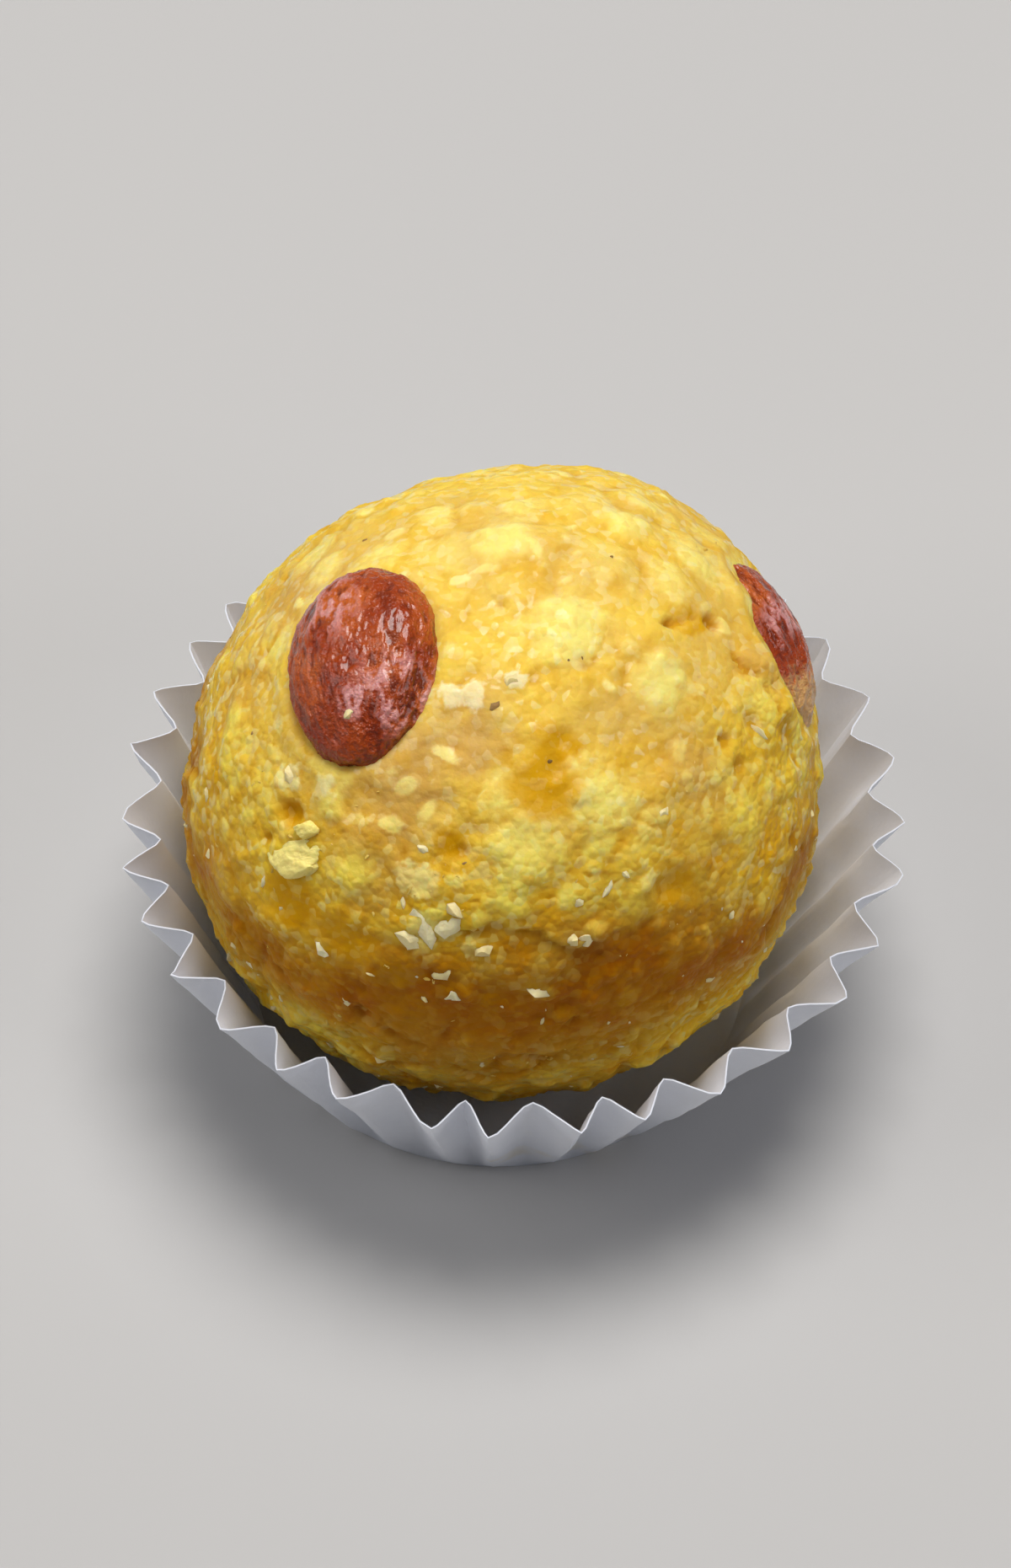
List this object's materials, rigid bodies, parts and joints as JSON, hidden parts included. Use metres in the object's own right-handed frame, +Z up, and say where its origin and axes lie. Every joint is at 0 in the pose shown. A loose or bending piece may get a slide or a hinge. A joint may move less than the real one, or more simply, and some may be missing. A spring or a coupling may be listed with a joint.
{
  "type": "boondi ladoo",
  "caption": "Round ball of pressed yellow boondi drops studded with raisins, standing in a fluted white paper case; a sweet that is picked up and eaten by hand.",
  "frame": {"origin": "middle of the round underside of the paper case, on the surface that it stands on", "axes": "+Z up; -Y towards the viewer of the picture; +X to the viewer's right"},
  "size_m": [0.051, 0.0515, 0.0413],
  "materials": {
    "pressed_boondi": "crumbly and slightly oily, golden yellow",
    "raisin_skin": "wrinkled glossy red-brown skin",
    "white_paper": "matt white greaseproof paper, pleated"
  },
  "bodies": {
    "root": {"boondi_ball": "pressed_boondi", "raisin_top": "raisin_skin", "raisin_side": "raisin_skin", "paper_case": "white_paper"}
  },
  "joints": []
}
